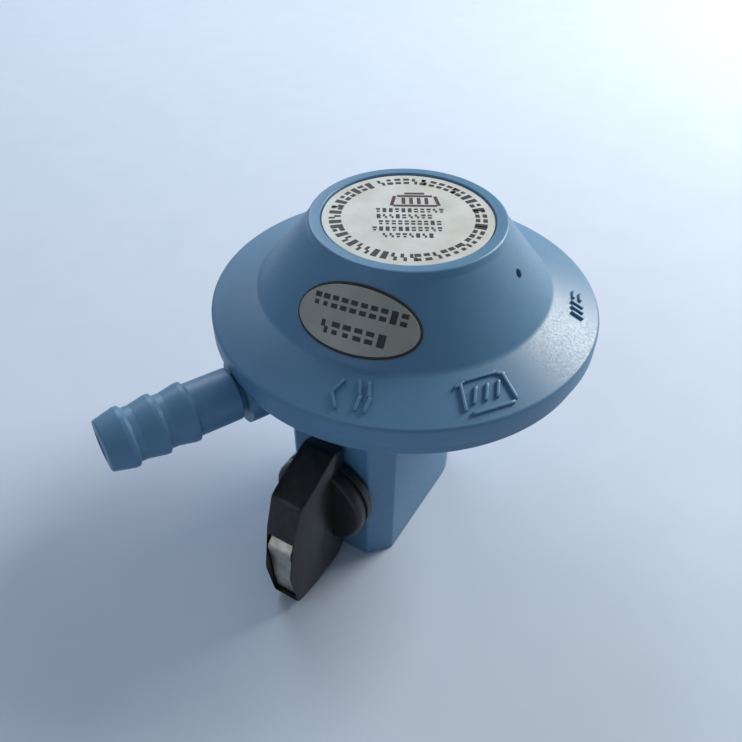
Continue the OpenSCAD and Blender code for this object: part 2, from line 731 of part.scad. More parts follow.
// Socket, base plate seat, fork pocket, and the way up for the fork's finger
module block_cuts() {
  translate([0, 0, base_t - 0.01]) cylinder(d = socket_d, h = socket_depth - base_t + 0.01);
  translate([0, 0, -cut]) linear_extrude(base_t + cut) block_plan(base_wall);
  translate([fork_x[0] - fork_travel - side_gap, -fork_half - side_gap, base_t - 0.01])
    cube([fork_x[1] - fork_x[0] + fork_travel + 2 * side_gap, 2 * (fork_half + side_gap), pocket_top - base_t]);
  translate([finger_x - fork_travel - 2.1, -2.1, pocket_top - 0.1])
    cube([fork_travel + 4.2, 4.2, spindle_z - pocket_top]);
  translate([0, 0, socket_depth - cut]) {
    cylinder(d = plunger_d + 2 * run_gap, h = 8);
    ring_of(3) translate([plunger_d / 2 + 0.2, 0, 0]) cylinder(r = flute_r, h = 5, $fn = 32);
    difference() {
      cylinder(r = seal_r[1], h = cut + seal_t);
      cylinder(r = seal_r[0], h = cut + seal_t);
    }
  }
  translate([0, 0, spring_floor]) cylinder(r = plunger_room_r, h = spindle_z - spring_floor);
  for (side = [-1, 1])
    translate([base_screw_at.x, side * base_screw_at.y, 0]) cylinder(r = base_screw_r, h = 9, $fn = 32);
}

module base_plate() color(casting)
  toward_knob() difference() {
    linear_extrude(base_t) block_plan(base_wall);
    translate([0, 0, -cut]) cylinder(d = socket_d, h = base_t + 2 * cut);
    for (side = [-1, 1])
      translate([base_screw_at.x, side * base_screw_at.y, 0]) {
        translate([0, 0, -cut]) cylinder(r = base_screw_r + 0.2, h = base_t + 2 * cut, $fn = 32);
        translate([0, 0, -cut]) cylinder(r = 2.5, h = 1.4 + cut, $fn = 48);
      }
  }

module base_screws() color(steel)
  toward_knob() for (side = [-1, 1])
    translate([base_screw_at.x, side * base_screw_at.y, 0.1])
      difference() {
        union() {
          cylinder(r = 2.4, h = 1.3, $fn = 48);
          cylinder(r = base_screw_r, h = 8, $fn = 32);
        }
        translate([0, 0, -cut]) cylinder(r = 1.1, h = 0.8 + cut, $fn = 6);
      }

module inlet_seal() color(rubber)
  translate([0, 0, socket_depth])
    difference() {
      cylinder(r = seal_r[1], h = seal_t);
      translate([0, 0, -cut]) cylinder(r = seal_r[0], h = seal_t + 2 * cut);
    }

// Sliding fork that grips the groove of the cylinder valve, with the finger that the drum drives
module lock_fork() color(steel)
  toward_knob() {
    difference() {
      translate([fork_x[0], -fork_half, fork_z]) cube([fork_x[1] - fork_x[0], 2 * fork_half, fork_t]);
      translate([0, 0, fork_z - cut]) cylinder(r = socket_d / 2 + side_gap, h = fork_t + 2 * cut);
      translate([fork_travel, 0, fork_z - cut]) cylinder(r = fork_neck_r, h = fork_t + 2 * cut);
    }
    translate([finger_x, 0, fork_z + fork_t - 0.1]) cylinder(r = 1.8, h = finger_top - 2.4 - fork_z - fork_t);
    translate([finger_x, 0, fork_z + fork_t - 0.1])
      cylinder(r = finger_r, h = finger_top - fork_z - fork_t + 0.1);
  }

// Pin that the cam pushes down on to the cylinder's valve
module plunger() color(brass) {
  translate([0, 0, plunger_tip]) cylinder(d = plunger_d, h = follower_z - plunger_tip - head_t + 0.1);
  translate([0, 0, follower_z - head_t]) cylinder(d = plunger_head_d, h = head_t);
}

module plunger_spring() color(steel)
  coil(plunger_room_r - 0.8, plunger_d / 2 + 0.6, spring_floor, follower_z - head_t, plunger_wire_r, 3, 16, 6);

// Steel spindle: tip for the cam, running length, grooved drum, bearing, square end
module spindle() color(steel)
  toward_knob() translate([0, 0, spindle_z])
    difference() {
      union() {
        along_x([-4.2, cam_t / 2 + 0.2], cam_tip_r);
        along_x([cam_t / 2 + 0.1, drum_x[0] + 0.1], spindle_r);
        along_x(drum_x, drum_d / 2);
        along_x([drum_x[1] - 0.1, hub_x[0] - 0.2], journal_r);
        translate([hub_x[0] - 0.3, -drive_square / 2, -drive_square / 2])
          cube([drive_end - hub_x[0] + 0.3, drive_square, drive_square]);
      }
      translate([-5, -cam_tip_r, cam_tip_r - 0.6]) cube([cam_t / 2 + 5.1, 2 * cam_tip_r, 2]);
      difference() {
        along_x([-cam_t / 2 - 0.7, -cam_t / 2 - 0.15], cam_tip_r + 1);
        along_x([-cam_t / 2 - 1, -cam_t / 2], cam_tip_r - 0.5);
      }
      drum_groove();
    }

// The groove winds round the drum by the fork's travel over the knob's turn
module drum_groove() {
  steps = 14;
  for (i = [0 : steps])
    rotate([-knob_turn * i / steps, 0, 0])
      translate([finger_x - fork_travel * i / steps, 0, -drum_d / 2 - 1])
        cylinder(r = finger_r + 0.25, h = groove_depth + 1, $fn = 32);
}

// Cam for a flat follower that moves down evenly as the knob turns
module cam_profile() {
  steps = 24;
  past = 24; // degrees that the rising part runs on past the last position
  function heave(a) = spindle_r + cam_lead * a * PI / 180;
  function edge(a) = heave(a) * [-sin(a), -cos(a)] + cam_lead * [-cos(a), sin(a)];
  rise = [for (i = [0 : steps]) edge((knob_turn + past) * i / steps)];
  back = [for (i = [0 : steps]) let (a = 180 + (180 * i) / steps) spindle_r * [-sin(a), -cos(a)]];
  polygon(concat(rise, back));
}

module cam() color(steel)
  toward_knob() translate([0, 0, spindle_z])
    difference() {
      drawn_x([-cam_t / 2, cam_t / 2]) cam_profile();
      difference() {
        along_x([-cam_t, cam_t], cam_tip_r);
        translate([-cam_t - 1, -cam_tip_r, cam_tip_r - 0.6]) cube([2 * cam_t + 2, 2 * cam_tip_r, 2]);
      }
    }

module cam_clip() color(steel)
  toward_knob() translate([0, 0, spindle_z])
    difference() {
      along_x([-cam_t / 2 - 0.65, -cam_t / 2 - 0.15], spindle_r - 0.2);
      along_x([-cam_t / 2 - 1, -cam_t / 2], cam_tip_r - 0.45);
      translate([-cam_t / 2 - 1, -1.2, 0]) cube([1.2, 2.4, 4]);
    }

// Inner bearing and seal, between the gas side and the drum
module spindle_gland() color(brass)
  toward_knob() translate([0, 0, spindle_z])
    difference() {
      along_x(gland_x, gland_r);
      along_x([gland_x[0] - cut, gland_x[1] + cut], spindle_r + run_gap);
      along_x([gland_x[0] + 1, gland_x[0] + 2.4], spindle_r + 1.35);
      difference() {
        along_x([gland_x[0] + 3.2, gland_x[0] + 4.6], gland_r + 1);
        along_x([gland_x[0] + 3, gland_x[0] + 5], gland_r - 1.2);
      }
    }

module gland_o_ring() color(rubber)
  toward_knob() translate([gland_x[0] + 3.9, 0, spindle_z]) rotate([0, 90, 0]) o_ring(gland_r - 0.6, 0.58);

module spindle_o_ring() color(rubber)
  toward_knob() translate([gland_x[0] + 1.7, 0, spindle_z]) rotate([0, 90, 0]) o_ring(spindle_r + 0.7, 0.62);

module spindle_bush() color(brass)
  toward_knob() translate([0, 0, spindle_z])
    difference() {
      along_x(bush_x, bush_r);
      along_x([bush_x[0] - cut, bush_x[1] + cut], journal_r + run_gap);
    }

// Side outline of the catch's head: a rounded top, then a face that falls back toward the fin's toe
module catch_head() {
  polygon(rounded([[catch_back, catch_z[0]], [catch_face - 1, catch_z[0]], [catch_face - 0.2, -12],
    [catch_face, -6], [catch_face + 0.6, catch_z[1] - 3], [catch_face - 2.2, catch_z[1]], [catch_back, catch_z[1]]],
    [0.2, 0.8, 4, 6, 1.2, 1.4, 0.2]));
}

// Pocket in the fin that the head slides into
module catch_room() {
  back = catch_back - catch_travel - side_gap;
  half = catch_w / 2 + catch_gap;
  translate([back, -half, catch_z[0] - side_gap])
    cube([fin_reach + 1 - back, 2 * half, catch_z[1] - catch_z[0] + 2 * side_gap]);
}

module knob() color(plastic) {
  socket_half = drive_square / 2 + drive_gap;
  slot_half = tongue_half + tongue_gap;
  toward_knob() translate([0, 0, spindle_z])
    difference() {
      union() {
        along_x(hub_x, hub_d / 2);
        drawn_y(fin_t / 2) polygon(rounded(fin_outline, fin_round));
      }
      difference() {
        along_x([hub_x[0] - 1, hub_x[0] + hub_recess], hub_d / 2 - hub_wall);
        along_x([hub_x[0] - 2, hub_x[0] + hub_recess + 1], drive_square / sqrt(2) + hub_wall);
      }
      translate([hub_x[0] - 1, -socket_half, -socket_half])
        cube([drive_end + side_gap + 1 - hub_x[0], 2 * socket_half, 2 * socket_half]);
      catch_room();
      translate([0, 0, catch_spring_z]) along_x([catch_spring_x, catch_back], catch_spring_r + 0.7);
      translate([hub_x[0], -slot_half, tongue_z - slot_half])
        cube([catch_back - hub_x[0], 2 * slot_half, 2 * slot_half]);
      translate([set_screw_x, 0, 0]) rotate([90, 0, 0]) cylinder(r = set_screw_r, h = hub_d / 2 + 1, $fn = 32);
    }
}

// Set screw with a hexagon socket, in the side of the hub
module knob_screw() color(steel)
  toward_knob() translate([set_screw_x, -drive_square / 2 - drive_gap, spindle_z]) rotate([90, 0, 0])
    difference() {
      cylinder(r = set_screw_r, h = set_screw_len, $fn = 32);
      translate([0, 0, set_screw_len - 1.4]) cylinder(r = set_screw_r * 0.6, h = 2, $fn = 6);
    }

// Metal catch set into the fin's outer edge, with a tongue that reaches behind the hub
module catch_button() color(steel)
  toward_knob() translate([0, 0, spindle_z]) {
    tongue_end = hub_x[0] + catch_travel;
    drawn_y(catch_w / 2) catch_head();
    translate([tongue_end, -tongue_half, tongue_z - tongue_half])
      cube([catch_back - tongue_end + 0.1, 2 * tongue_half, 2 * tongue_half]);
  }

module catch_spring() color(steel)
  toward_knob() translate([0, 0, spindle_z + catch_spring_z]) rotate([0, 90, 0])
    coil(catch_spring_r, catch_spring_r, catch_spring_x, catch_back, catch_wire_r, 6, 12, 6);

// Outline along the tail, from the thread out to the tip: each barb is a slope up to a level land
module tail_outline() {
  root = root_d / 2;
  barb = barb_d / 2;
  bore = tail_bore / 2;
  first = tail_reach - nose_len;
  barbs = [for (i = [barb_count - 1 : -1 : 0])
    let (tip = first - i * barb_pitch)
    let (slope = i == 0 ? [tip, barb] : [tip + 3.4, root])
    each [[tip - barb_land, root], [tip - barb_land, barb], [tip, barb], slope]];
  polygon(concat([[bore, thread_in], [thread_r, thread_in], [thread_r, shoulder_x], [root - 0.5, shoulder_x],
    [root, shoulder_x + 0.5]],
    [for (p = barbs) [p.y, p.x]],
    [[root - 0.3, tail_reach - 0.4], [root - 0.7, tail_reach], [bore, tail_reach]]));
}

module hose_tail() color(casting)
  translate([0, 0, tail_z]) rotate([0, -90, 0]) difference() {
    rotate_extrude() tail_outline();
    difference() {
      translate([0, 0, thread_in + 1.6]) cylinder(r = thread_r + 1, h = 1.3);
      translate([0, 0, thread_in + 1.4]) cylinder(r = thread_r - 0.8, h = 1.7);
    }
  }

module tail_o_ring() color(rubber)
  translate([-thread_in - 2.25, 0, tail_z]) rotate([0, 90, 0]) o_ring(thread_r - 0.4, 0.4);

lower_body();
top_cover();
nameplate();
badge();
cover_cap();
spring_adjuster();
cover_screws();
vent_screen();
main_spring();
diaphragm();
diaphragm_plate();
lower_washer();
diaphragm_stem();
stem_nut();
lever();
lever_pin();
valve_carrier();
valve_pad();
nozzle();
nozzle_o_ring();
flow_seat();
flow_spring();
flow_poppet();
inlet_filter();
hose_tail();
tail_o_ring();
base_plate();
base_screws();
inlet_seal();
lock_fork();
plunger();
plunger_spring();
spindle();
cam();
cam_clip();
spindle_gland();
gland_o_ring();
spindle_o_ring();
spindle_bush();
knob();
knob_screw();
catch_button();
catch_spring();
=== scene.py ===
import json
import math
import random

import bmesh
import bpy
from mathutils import Matrix, Vector


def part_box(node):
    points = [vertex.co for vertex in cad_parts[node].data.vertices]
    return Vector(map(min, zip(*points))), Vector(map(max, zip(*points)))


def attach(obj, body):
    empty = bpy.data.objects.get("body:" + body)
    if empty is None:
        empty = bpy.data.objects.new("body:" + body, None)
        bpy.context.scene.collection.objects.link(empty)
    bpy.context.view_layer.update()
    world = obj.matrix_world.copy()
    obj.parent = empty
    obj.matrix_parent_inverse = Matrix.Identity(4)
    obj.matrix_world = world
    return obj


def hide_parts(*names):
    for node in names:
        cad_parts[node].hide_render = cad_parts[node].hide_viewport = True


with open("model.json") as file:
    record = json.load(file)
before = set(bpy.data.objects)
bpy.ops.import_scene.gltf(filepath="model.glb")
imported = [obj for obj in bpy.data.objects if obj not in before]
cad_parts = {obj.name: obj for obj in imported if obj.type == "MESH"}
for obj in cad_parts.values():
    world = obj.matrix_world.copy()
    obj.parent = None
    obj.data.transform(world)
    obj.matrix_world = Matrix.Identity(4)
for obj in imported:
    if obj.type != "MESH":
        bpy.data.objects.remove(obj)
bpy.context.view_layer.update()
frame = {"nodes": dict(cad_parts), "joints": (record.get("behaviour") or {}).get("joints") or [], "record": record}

mm = 0.001
print("frame loaded:", len(frame["nodes"]), "nodes")


# Sizes read from the frame, in millimetres
def lowOf(node):
    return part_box(node)[0] / mm


def highOf(node):
    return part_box(node)[1] / mm


turn = next(joint for joint in frame["joints"] if joint["name"] == "knob_turn")
knobTurn = math.atan2(turn["axis"][1], turn["axis"][0])
spindleZ = turn["pos_m"][2] / mm
brimR = highOf("top_cover").y
totalH = highOf("top_cover").z
splitZ = lowOf("top_cover").z
towardKnob = Matrix.Rotation(knobTurn, 4, "Z")
onSpindle = Matrix.Translation((0, 0, spindleZ * mm)) @ towardKnob


def paint(code):
    # sRGB hex to the linear colour that Blender expects
    parts = [int(code[i:i + 2], 16) / 255 for i in (1, 3, 5)]
    return tuple(c / 12.92 if c <= 0.04045 else ((c + 0.055) / 1.055) ** 2.4 for c in parts) + (1,)


def addNode(tree, kind, inputs=None, **settings):
    node = tree.nodes.new(kind)
    for name, value in settings.items():
        setattr(node, name, value)
    for socket, value in (inputs or {}).items():
        if isinstance(value, bpy.types.NodeSocket):
            tree.links.new(value, node.inputs[socket])
        else:
            node.inputs[socket].default_value = value
    return node


def startMaterial(name):
    material = bpy.data.materials.new(name)
    material.use_nodes = True
    material.node_tree.nodes.clear()
    coords = addNode(material.node_tree, "ShaderNodeTexCoord").outputs["Object"]
    return material, material.node_tree, coords


def endMaterial(material, tree, inputs):
    # closes a material with one principled shader
    shader = addNode(tree, "ShaderNodeBsdfPrincipled", inputs)
    addNode(tree, "ShaderNodeOutputMaterial", {"Surface": shader.outputs["BSDF"]})
    return material


def noise(tree, coords, size, detail):
    # cloudy noise with grains about this many millimetres across
    inputs = {"Vector": coords, "Scale": 1 / (size * mm), "Detail": detail}
    return addNode(tree, "ShaderNodeTexNoise", inputs).outputs["Fac"]


def ranged(tree, value, low=0.0, high=1.0, toLow=0.0, toHigh=1.0):
    # stretches low to high over toLow to toHigh, and clamps what lies beyond
    inputs = {"Value": value, "From Min": low, "From Max": high, "To Min": toLow, "To Max": toHigh}
    return addNode(tree, "ShaderNodeMapRange", inputs).outputs["Result"]


def mixed(tree, share, first, second):
    # one colour where the share is 0, the other where it is 1
    node = addNode(tree, "ShaderNodeMix", {0: share, 6: first, 7: second}, data_type="RGBA")
    return node.outputs[2]


def bumped(tree, height, strength, depth, invert=False):
    # a bump of a depth in millimetres
    inputs = {"Height": height, "Strength": strength, "Distance": depth * mm}
    return addNode(tree, "ShaderNodeBump", inputs, invert=invert).outputs["Normal"]


def rubbed(tree, coords, tint, look):
    # a paler colour on sharp edges, torn into patches
    ridge = addNode(tree, "ShaderNodeNewGeometry").outputs["Pointiness"]
    edge = ranged(tree, ridge, *look["edge"], toHigh=look["wear"])
    torn = ranged(tree, noise(tree, coords, *look["patch"]), *look["torn"])
    wear = addNode(tree, "ShaderNodeMath", {0: edge, 1: torn}, operation="MULTIPLY").outputs[0]
    return mixed(tree, wear, tint, paint(look["rubbed"]))


def satinEnamel():
    # sprayed satin enamel on a zinc die casting: broad soft gloss, slight orange peel,
    # a little paler where edges are rubbed; each pattern is (millimetres, detail)
    look = {"colour": "#5683a5", "shade": "#4a779a", "rubbed": "#8fa9ba", "mottle": (11, 4),
            "edge": (0.6, 0.72), "wear": 0.3, "patch": (2.2, 5), "torn": (0.38, 0.62),
            "dust": (0.5, 3), "rough": (0.36, 0.5), "peel": (0.7, 2), "depth": 0.04}
    material, tree, coords = startMaterial("satin enamel on die-cast zinc")
    mottle = noise(tree, coords, *look["mottle"])
    tint = mixed(tree, mottle, paint(look["shade"]), paint(look["colour"]))
    dust = noise(tree, coords, *look["dust"])
    peel = noise(tree, coords, *look["peel"])
    return endMaterial(material, tree, {
        "Base Color": rubbed(tree, coords, tint, look), "IOR": 1.5,
        "Roughness": ranged(tree, dust, 0.3, 0.7, *look["rough"]),
        "Normal": bumped(tree, peel, 0.25, look["depth"])})


def mouldedAcetal():
    # injection-moulded black acetal: dense black, dull sheen from a fine spark-eroded mould,
    # grey scuffs on edges
    look = {"colour": "#121214", "rubbed": "#4a4a50", "edge": (0.52, 0.64), "wear": 0.6,
            "patch": (1.6, 6), "torn": (0.42, 0.64), "rough": (0.26, 0.42), "spark": (0.35, 3),
            "depth": 0.03}
    material, tree, coords = startMaterial("moulded black acetal")
    patch = noise(tree, coords, *look["patch"])
    spark = noise(tree, coords, *look["spark"])
    return endMaterial(material, tree, {
        "Base Color": rubbed(tree, coords, paint(look["colour"]), look), "IOR": 1.48,
        "Roughness": ranged(tree, patch, 0, 1, *look["rough"]),
        "Normal": bumped(tree, spark, 0.5, look["depth"])})


def platedMetal(name, look):
    # plated or turned metal: a bright coat, cloudy in patches, with fine lines along one axis
    material, tree, coords = startMaterial(name)
    cloud = noise(tree, coords, look["cloud"], 4)
    lined = addNode(tree, "ShaderNodeMapping", {"Vector": coords, "Scale": look["stretch"]})
    lines = noise(tree, lined.outputs["Vector"], look["line"], 3)
    return endMaterial(material, tree, {
        "Base Color": mixed(tree, cloud, paint(look["dull"]), paint(look["colour"])),
        "Metallic": look.get("metal", 1.0),
        "Roughness": ranged(tree, cloud, 0.3, 0.7, look["rough"] + 0.08, look["rough"] - 0.05),
        "Normal": bumped(tree, lines, 0.35, look["depth"])})


def printedFoil():
    # printed aluminium foil under a matt varnish: pale silver, faint rolling lines,
    # a little yellowed in patches
    look = {"colour": "#c9cecd", "aged": "#b9bcb4", "patch": (6, 5), "line": 0.25, "stretch": 12,
            "rough": (0.46, 0.6), "depth": 0.01}
    material, tree, coords = startMaterial("varnished aluminium foil")
    aged = ranged(tree, noise(tree, coords, *look["patch"]), 0.35, 0.7)
    stretch = (1, look["stretch"], look["stretch"])
    rolled = addNode(tree, "ShaderNodeMapping", {"Vector": coords, "Scale": stretch})
    lines = noise(tree, rolled.outputs["Vector"], look["line"] * look["stretch"], 2)
    return endMaterial(material, tree, {
        "Base Color": mixed(tree, aged, paint(look["colour"]), paint(look["aged"])),
        "Metallic": 0.1, "Roughness": ranged(tree, lines, 0, 1, *look["rough"]),
        "Normal": bumped(tree, lines, 0.2, look["depth"])})


def printingInk(name, code):
    # screen-printed ink: matt and slightly uneven where the screen lifted off
    look = {"thin": "#3a3d42", "lift": (0.5, 4), "rough": (0.45, 0.7)}
    material, tree, coords = startMaterial(name)
    lift = noise(tree, coords, *look["lift"])
    return endMaterial(material, tree, {
        "Base Color": mixed(tree, lift, paint(code), paint(look["thin"])), "IOR": 1.5,
        "Roughness": ranged(tree, lift, 0, 1, *look["rough"])})


def sinteredBronze():
    # pressed bronze grains: a rough brown metal full of pores
    look = {"colour": "#a98456", "pore": "#3d2c1c", "grain": 0.3, "rough": 0.55, "depth": 0.1}
    material, tree, coords = startMaterial("sintered bronze")
    inputs = {"Vector": coords, "Scale": 1 / (look["grain"] * mm)}
    grains = addNode(tree, "ShaderNodeTexVoronoi", inputs).outputs["Distance"]
    return endMaterial(material, tree, {
        "Base Color": mixed(tree, grains, paint(look["colour"]), paint(look["pore"])),
        "Metallic": 1.0, "Roughness": look["rough"],
        "Normal": bumped(tree, grains, 0.8, look["depth"], invert=True)})


def nitrileRubber():
    # moulded nitrile rubber: near black, dull, with a grey bloom in patches
    look = {"colour": "#1c1c1d", "bloom": "#39393a", "patch": (3, 5), "skin": (0.25, 2),
            "rough": 0.72, "depth": 0.03}
    material, tree, coords = startMaterial("moulded nitrile rubber")
    patch = noise(tree, coords, *look["patch"])
    skin = noise(tree, coords, *look["skin"])
    return endMaterial(material, tree, {
        "Base Color": mixed(tree, patch, paint(look["colour"]), paint(look["bloom"])),
        "IOR": 1.52, "Roughness": look["rough"],
        "Normal": bumped(tree, skin, 0.5, look["depth"])})


blackInk = printingInk("black screen ink", "#101114")
redInk = printingInk("dark red screen ink", "#4d1526")
badgeFoil = platedMetal("brushed aluminium badge foil", {
    "colour": "#a3a79f", "dull": "#8d918b", "cloud": 5, "line": 0.6, "stretch": (1, 1, 6),
    "rough": 0.55, "depth": 0.01, "metal": 0.3})
finishes = {
    "casting": satinEnamel(),
    "label_foil": printedFoil(),
    "black_plastic": mouldedAcetal(),
    "nickel_plate": platedMetal("worn nickel plate on die casting", {
        "colour": "#d8d2c4", "dull": "#8f8a7e", "cloud": 1.8, "line": 0.7, "stretch": (1, 1, 1),
        "rough": 0.36, "depth": 0.06}),
    "zinc_steel": platedMetal("bright zinc plate on steel", {
        "colour": "#c9cdd2", "dull": "#9ea4ab", "cloud": 2.5, "line": 0.5, "stretch": (1, 1, 5),
        "rough": 0.34, "depth": 0.03}),
    "spring_steel": platedMetal("drawn spring wire", {
        "colour": "#9b9da1", "dull": "#6f7175", "cloud": 1.5, "line": 0.4, "stretch": (1, 1, 8),
        "rough": 0.32, "depth": 0.02}),
    "ground_steel": platedMetal("ground steel", {
        "colour": "#b4b6ba", "dull": "#94969b", "cloud": 4, "line": 0.3, "stretch": (1, 1, 1),
        "rough": 0.26, "depth": 0.01}),
    "brass": platedMetal("turned brass", {
        "colour": "#d0ab5c", "dull": "#a8833f", "cloud": 3, "line": 0.4, "stretch": (1, 1, 9),
        "rough": 0.3, "depth": 0.02}),
    "sintered_bronze": sinteredBronze(),
    "black_rubber": nitrileRubber(),
}
for part in frame["record"]["subparts"]:
    slots = frame["nodes"][part["node"]].data.materials
    slots.clear()
    slots.append(finishes[part["material_slot"]])
print("finishes made")


def rounded(corners, closed=True, steps=6):
    # an outline of (x, y, radius) corners, each rounded by its own arc
    path = []
    for i, (x, y, radius) in enumerate(corners):
        here = Vector((x, y))
        atEnd = not closed and i in (0, len(corners) - 1)
        if radius == 0 or atEnd:
            path.append(here)
            continue
        back = (Vector(corners[i - 1][:2]) - here).normalized()
        ahead = (Vector(corners[(i + 1) % len(corners)][:2]) - here).normalized()
        half = back.angle(ahead) / 2
        centre = here + (back + ahead).normalized() * radius / math.sin(half)
        first = here + back * radius / math.tan(half) - centre
        last = here + ahead * radius / math.tan(half) - centre
        turned = [first.lerp(last, k / steps).normalized() for k in range(steps + 1)]
        path += [centre + spoke * radius for spoke in turned]
    return path


def spun(path, closed=True, steps=180):
    # turns an outline of (radius, height) about Z; an open one starts and ends on the axis
    bm = bmesh.new()
    corners = [bm.verts.new((r * mm, 0, z * mm)) for r, z in path]
    ends = zip(corners, corners[1:] + corners[:1]) if closed else zip(corners, corners[1:])
    edges = [bm.edges.new(pair) for pair in ends]
    bmesh.ops.spin(bm, geom=corners + edges, cent=(0, 0, 0), axis=(0, 0, 1), angle=math.tau,
                   steps=steps, use_merge=True)
    return tidied(bm)


def drawnUp(path, low, high):
    # draws a flat outline up Z from one height to another
    bm = bmesh.new()
    face = bm.faces.new([bm.verts.new((x * mm, y * mm, low * mm)) for x, y in path])
    made = bmesh.ops.extrude_face_region(bm, geom=[face])["geom"]
    risen = [v for v in made if isinstance(v, bmesh.types.BMVert)]
    bmesh.ops.translate(bm, vec=(0, 0, (high - low) * mm), verts=risen)
    return tidied(bm)


def block(low, high):
    bm = bmesh.new()
    size = Vector(high) - Vector(low)
    middle = (Vector(high) + Vector(low)) / 2
    scale = Matrix.Diagonal((*(size * mm), 1))
    bmesh.ops.create_cube(bm, size=1, matrix=Matrix.Translation(middle * mm) @ scale)
    return bm


def peg(radius, low, high, sides=64, tip=None):
    # a round or many-sided bar about Z
    bm = bmesh.new()
    bmesh.ops.create_cone(bm, cap_ends=True, segments=sides, radius1=radius * mm,
                          radius2=(radius if tip is None else tip) * mm, depth=(high - low) * mm,
                          matrix=Matrix.Translation((0, 0, (low + high) / 2 * mm)))
    return bm


def tidied(bm):
    bmesh.ops.remove_doubles(bm, verts=bm.verts, dist=0.002 * mm)
    bmesh.ops.recalc_face_normals(bm, faces=bm.faces)
    return bm


def moved(bm, matrix):
    bmesh.ops.transform(bm, matrix=matrix, verts=bm.verts)
    return bm


def along(axis, at=(0, 0, 0)):
    # turns +Z to the named axis and puts the foot at a point
    turns = {"x": Matrix.Rotation(math.pi / 2, 4, "Y"), "-x": Matrix.Rotation(-math.pi / 2, 4, "Y"),
             "y": Matrix.Rotation(-math.pi / 2, 4, "X"), "z": Matrix()}
    return Matrix.Translation(Vector(at) * mm) @ turns[axis]


def softened(bm, width, segments=3, angle=35, keep=None):
    # rounds every edge sharper than the angle, or those that keep() picks
    sharp = [e for e in bm.edges if e.calc_face_angle(0) > math.radians(angle)]
    edges = [e for e in sharp if keep is None or keep(e)]
    bmesh.ops.bevel(bm, geom=edges, offset=width * mm, offset_type="OFFSET", segments=segments,
                    profile=0.5, affect="EDGES", material=-1, clamp_overlap=True)
    return bm


def joined(*parts):
    # several meshes side by side in one
    whole = bmesh.new()
    for part in parts:
        mesh = bpy.data.meshes.new("part")
        part.to_mesh(mesh)
        part.free()
        whole.from_mesh(mesh)
        bpy.data.meshes.remove(mesh)
    return whole


def combined(solid, tools, how="DIFFERENCE"):
    # cuts each tool out of a solid, or adds it
    for tool in tools:
        pair = []
        for part in (solid, tool):
            mesh = bpy.data.meshes.new("part")
            part.to_mesh(mesh)
            part.free()
            pair.append(bpy.data.objects.new("part", mesh))
            bpy.context.collection.objects.link(pair[-1])
        step = pair[0].modifiers.new("step", "BOOLEAN")
        step.operation = how
        step.solver = "EXACT"
        step.object = pair[1]
        solid = bmesh.new()
        solid.from_object(pair[0], bpy.context.evaluated_depsgraph_get())
        for piece in pair:
            mesh = piece.data
            bpy.data.objects.remove(piece)
            bpy.data.meshes.remove(mesh)
    return solid


def place(name, bm, body, slot, stands=(), finish=None, smooth=35):
    mesh = bpy.data.meshes.new(name)
    bm.to_mesh(mesh)
    bm.free()
    mesh.shade_smooth()
    mesh.set_sharp_from_angle(angle=math.radians(smooth))
    mesh.materials.append(finish or finishes[slot])
    piece = bpy.data.objects.new(name, mesh)
    bpy.context.collection.objects.link(piece)
    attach(piece, body)
    if stands:
        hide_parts(*stands)
    return piece


def bars(strokes, width, height, foot=0.0, soft=0.0):
    # straight raised or printed strokes, each (x, y, length, angle in degrees), lying flat
    bm = bmesh.new()
    for x, y, length, angle in strokes:
        spot = Matrix.Translation((x * mm, y * mm, (foot + height / 2) * mm))
        turned = spot @ Matrix.Rotation(math.radians(angle), 4, "Z")
        scale = Matrix.Diagonal((length * mm, width * mm, height * mm, 1))
        made = bmesh.ops.create_cube(bm, size=1, matrix=turned @ scale)
        edges = {e for v in made["verts"] for e in v.link_edges}
        if length > 2:
            run = [e for e in edges if abs(e.calc_length() - length * mm) < 0.001 * mm]
            bmesh.ops.subdivide_edges(bm, edges=run, cuts=int(length), use_grid_fill=True)
    if soft:
        softened(bm, soft, 2, 50)
    return bm


def wrapped(bm, cone, azimuth):
    # rolls a flat mesh on to the cover: X round the axis, Y up the slope, Z out of the surface
    slope = (Vector(cone["top"]) - Vector(cone["foot"])).normalized()
    out = Vector((slope.y, -slope.x))
    middle = Vector(cone["foot"]).lerp(Vector(cone["top"]), cone["share"])
    lean = -slope.x
    apex = middle.x / lean
    for v in bm.verts:
        x, y, z = v.co / mm
        spot = middle + slope * (apex - math.hypot(apex - y, x)) + out * z
        angle = math.radians(azimuth) + math.atan2(x, apex - y) / lean
        v.co = Vector((spot.x * math.cos(angle), spot.x * math.sin(angle), spot.y)) * mm
    return bm


# The cover: brim, cone and label recess in one casting
cover = {"brimDrop": 19.3, "foot": (31.4, 58.2), "top": (20.9, 71.8), "lip": 20.3, "bore": 12,
         "shelf": 60.5, "collar": 15.6, "collarZ": 63.5, "roof": (25.2, 62.5),
         "hip": (28.5, 57.6), "chamber": 30.4, "chamberZ": 52.6}
vent = {"azimuth": 299, "share": 0.66, "radius": 0.9, "flare": 0.25}
brimEdge = totalH - cover["brimDrop"]
labelR = highOf("nameplate").x
recessZ = lowOf("nameplate").z
coverPath = rounded([
    (cover["chamber"], splitZ, 0.1), (brimR, splitZ, 0.35), (brimR, brimEdge, 0.9),
    (*cover["foot"], 2.6), (*cover["top"], 0.8), (cover["lip"], totalH, 0.6),
    (labelR + 0.35, totalH, 0.3), (labelR + 0.3, recessZ, 0.1), (cover["bore"], recessZ, 0.1),
    (cover["bore"], cover["shelf"], 0.1), (cover["collar"], cover["shelf"], 0.3),
    (cover["collar"], cover["collarZ"], 0.3), (*cover["roof"], 0.3), (*cover["hip"], 1),
    (cover["chamber"], cover["chamberZ"], 1)])
shell = spun(coverPath, steps=240)
